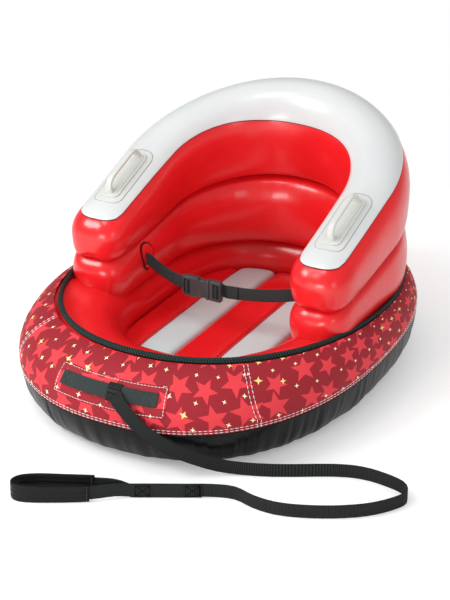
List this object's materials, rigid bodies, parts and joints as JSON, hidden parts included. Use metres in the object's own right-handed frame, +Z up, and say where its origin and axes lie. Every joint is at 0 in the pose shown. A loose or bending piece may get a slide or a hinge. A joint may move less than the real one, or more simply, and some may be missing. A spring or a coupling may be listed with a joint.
{
  "type": "snow tube",
  "caption": "Inflatable child's snow tube: an oval tub in a printed fabric cover with a two-tier chair back, arm handles, a buckled seat belt, and a tow leash with a padded hand loop.",
  "frame": {"origin": "middle of the tub's footprint, on the surface it rests on", "axes": "+Y to the back of the chair, +Z up, +X to the left of a rider seated in the chair"},
  "size_m": [0.8299, 1.0227, 0.4396],
  "materials": {
    "red_vinyl": "gloss",
    "white_vinyl": "gloss",
    "moulded_white": "satin",
    "printed_cloth": "woven, printed",
    "black_cloth": "coated",
    "hem_tape": "ribbed",
    "webbing": "woven",
    "buckle_plastic": "satin",
    "valve_vinyl": "gloss"
  },
  "bodies": {
    "tube": {"cover_left_panel": "printed_cloth", "cover_front_panel": "printed_cloth", "cover_right_panel": "printed_cloth", "cover_bottom": "black_cloth", "rim_hem": "hem_tape", "rim_elastic_cord": "black_cloth", "base_ring": "red_vinyl", "floor_side_left": "red_vinyl", "floor_stripe_left": "white_vinyl", "floor_centre": "red_vinyl", "floor_stripe_right": "white_vinyl", "floor_side_right": "red_vinyl", "back_tube_lower": "red_vinyl", "back_tube_upper": "red_vinyl", "top_panel": "white_vinyl", "handle_patch_left": "white_vinyl", "handle_left": "moulded_white", "handle_patch_right": "white_vinyl", "handle_right": "moulded_white", "belt_anchor_left": "red_vinyl", "belt_anchor_right": "red_vinyl", "belt_strap_left": "webbing", "belt_strap_right": "webbing", "buckle_socket": "buckle_plastic", "tow_reinforcement": "black_cloth", "tow_bar": "webbing", "leash_eye": "webbing", "leash": "webbing", "leash_grip_sleeve": "hem_tape", "valve_body_back": "valve_vinyl", "valve_body_ring": "valve_vinyl", "valve_body_floor": "valve_vinyl"},
    "plug": {"buckle_plug": "buckle_plastic"},
    "prong_upper": {"buckle_prong_upper": "buckle_plastic"},
    "prong_lower": {"buckle_prong_lower": "buckle_plastic"},
    "cap_back": {"valve_cap_back": "valve_vinyl"},
    "cap_ring": {"valve_cap_ring": "valve_vinyl"},
    "cap_floor": {"valve_cap_floor": "valve_vinyl"}
  },
  "joints": [
    {"name": "buckle_release", "type": "slide", "parent": "tube", "child": "plug", "axis": [1, 0, 0], "range_m": [0, 0.033], "deforming": ["belt_strap_right", "buckle_prong_upper", "buckle_prong_lower"]},
    {"name": "prong_upper_press", "type": "hinge", "parent": "plug", "child": "prong_upper", "pos_m": [-0.0165, -0.02, 0.1647], "axis": [0, -1, 0], "range_deg": [0, 6], "stiffness_Nm_per_rad": 0.1},
    {"name": "prong_lower_press", "type": "hinge", "parent": "plug", "child": "prong_lower", "pos_m": [-0.0165, -0.02, 0.1373], "axis": [0, 1, 0], "range_deg": [0, 6], "stiffness_Nm_per_rad": 0.1},
    {"name": "cap_back_open", "type": "hinge", "parent": "tube", "child": "cap_back", "pos_m": [0, 0.4176, 0.3605], "axis": [1, 0, 0], "range_deg": [0, 120]},
    {"name": "cap_ring_open", "type": "hinge", "parent": "tube", "child": "cap_ring", "pos_m": [0.1662, 0.0155, 0.0905], "axis": [0, 1, 0], "range_deg": [0, 120]},
    {"name": "cap_floor_open", "type": "hinge", "parent": "tube", "child": "cap_floor", "pos_m": [0.1396, 0.1368, 0.0711], "axis": [-1, 0, 0], "range_deg": [0, 120]}
  ]
}
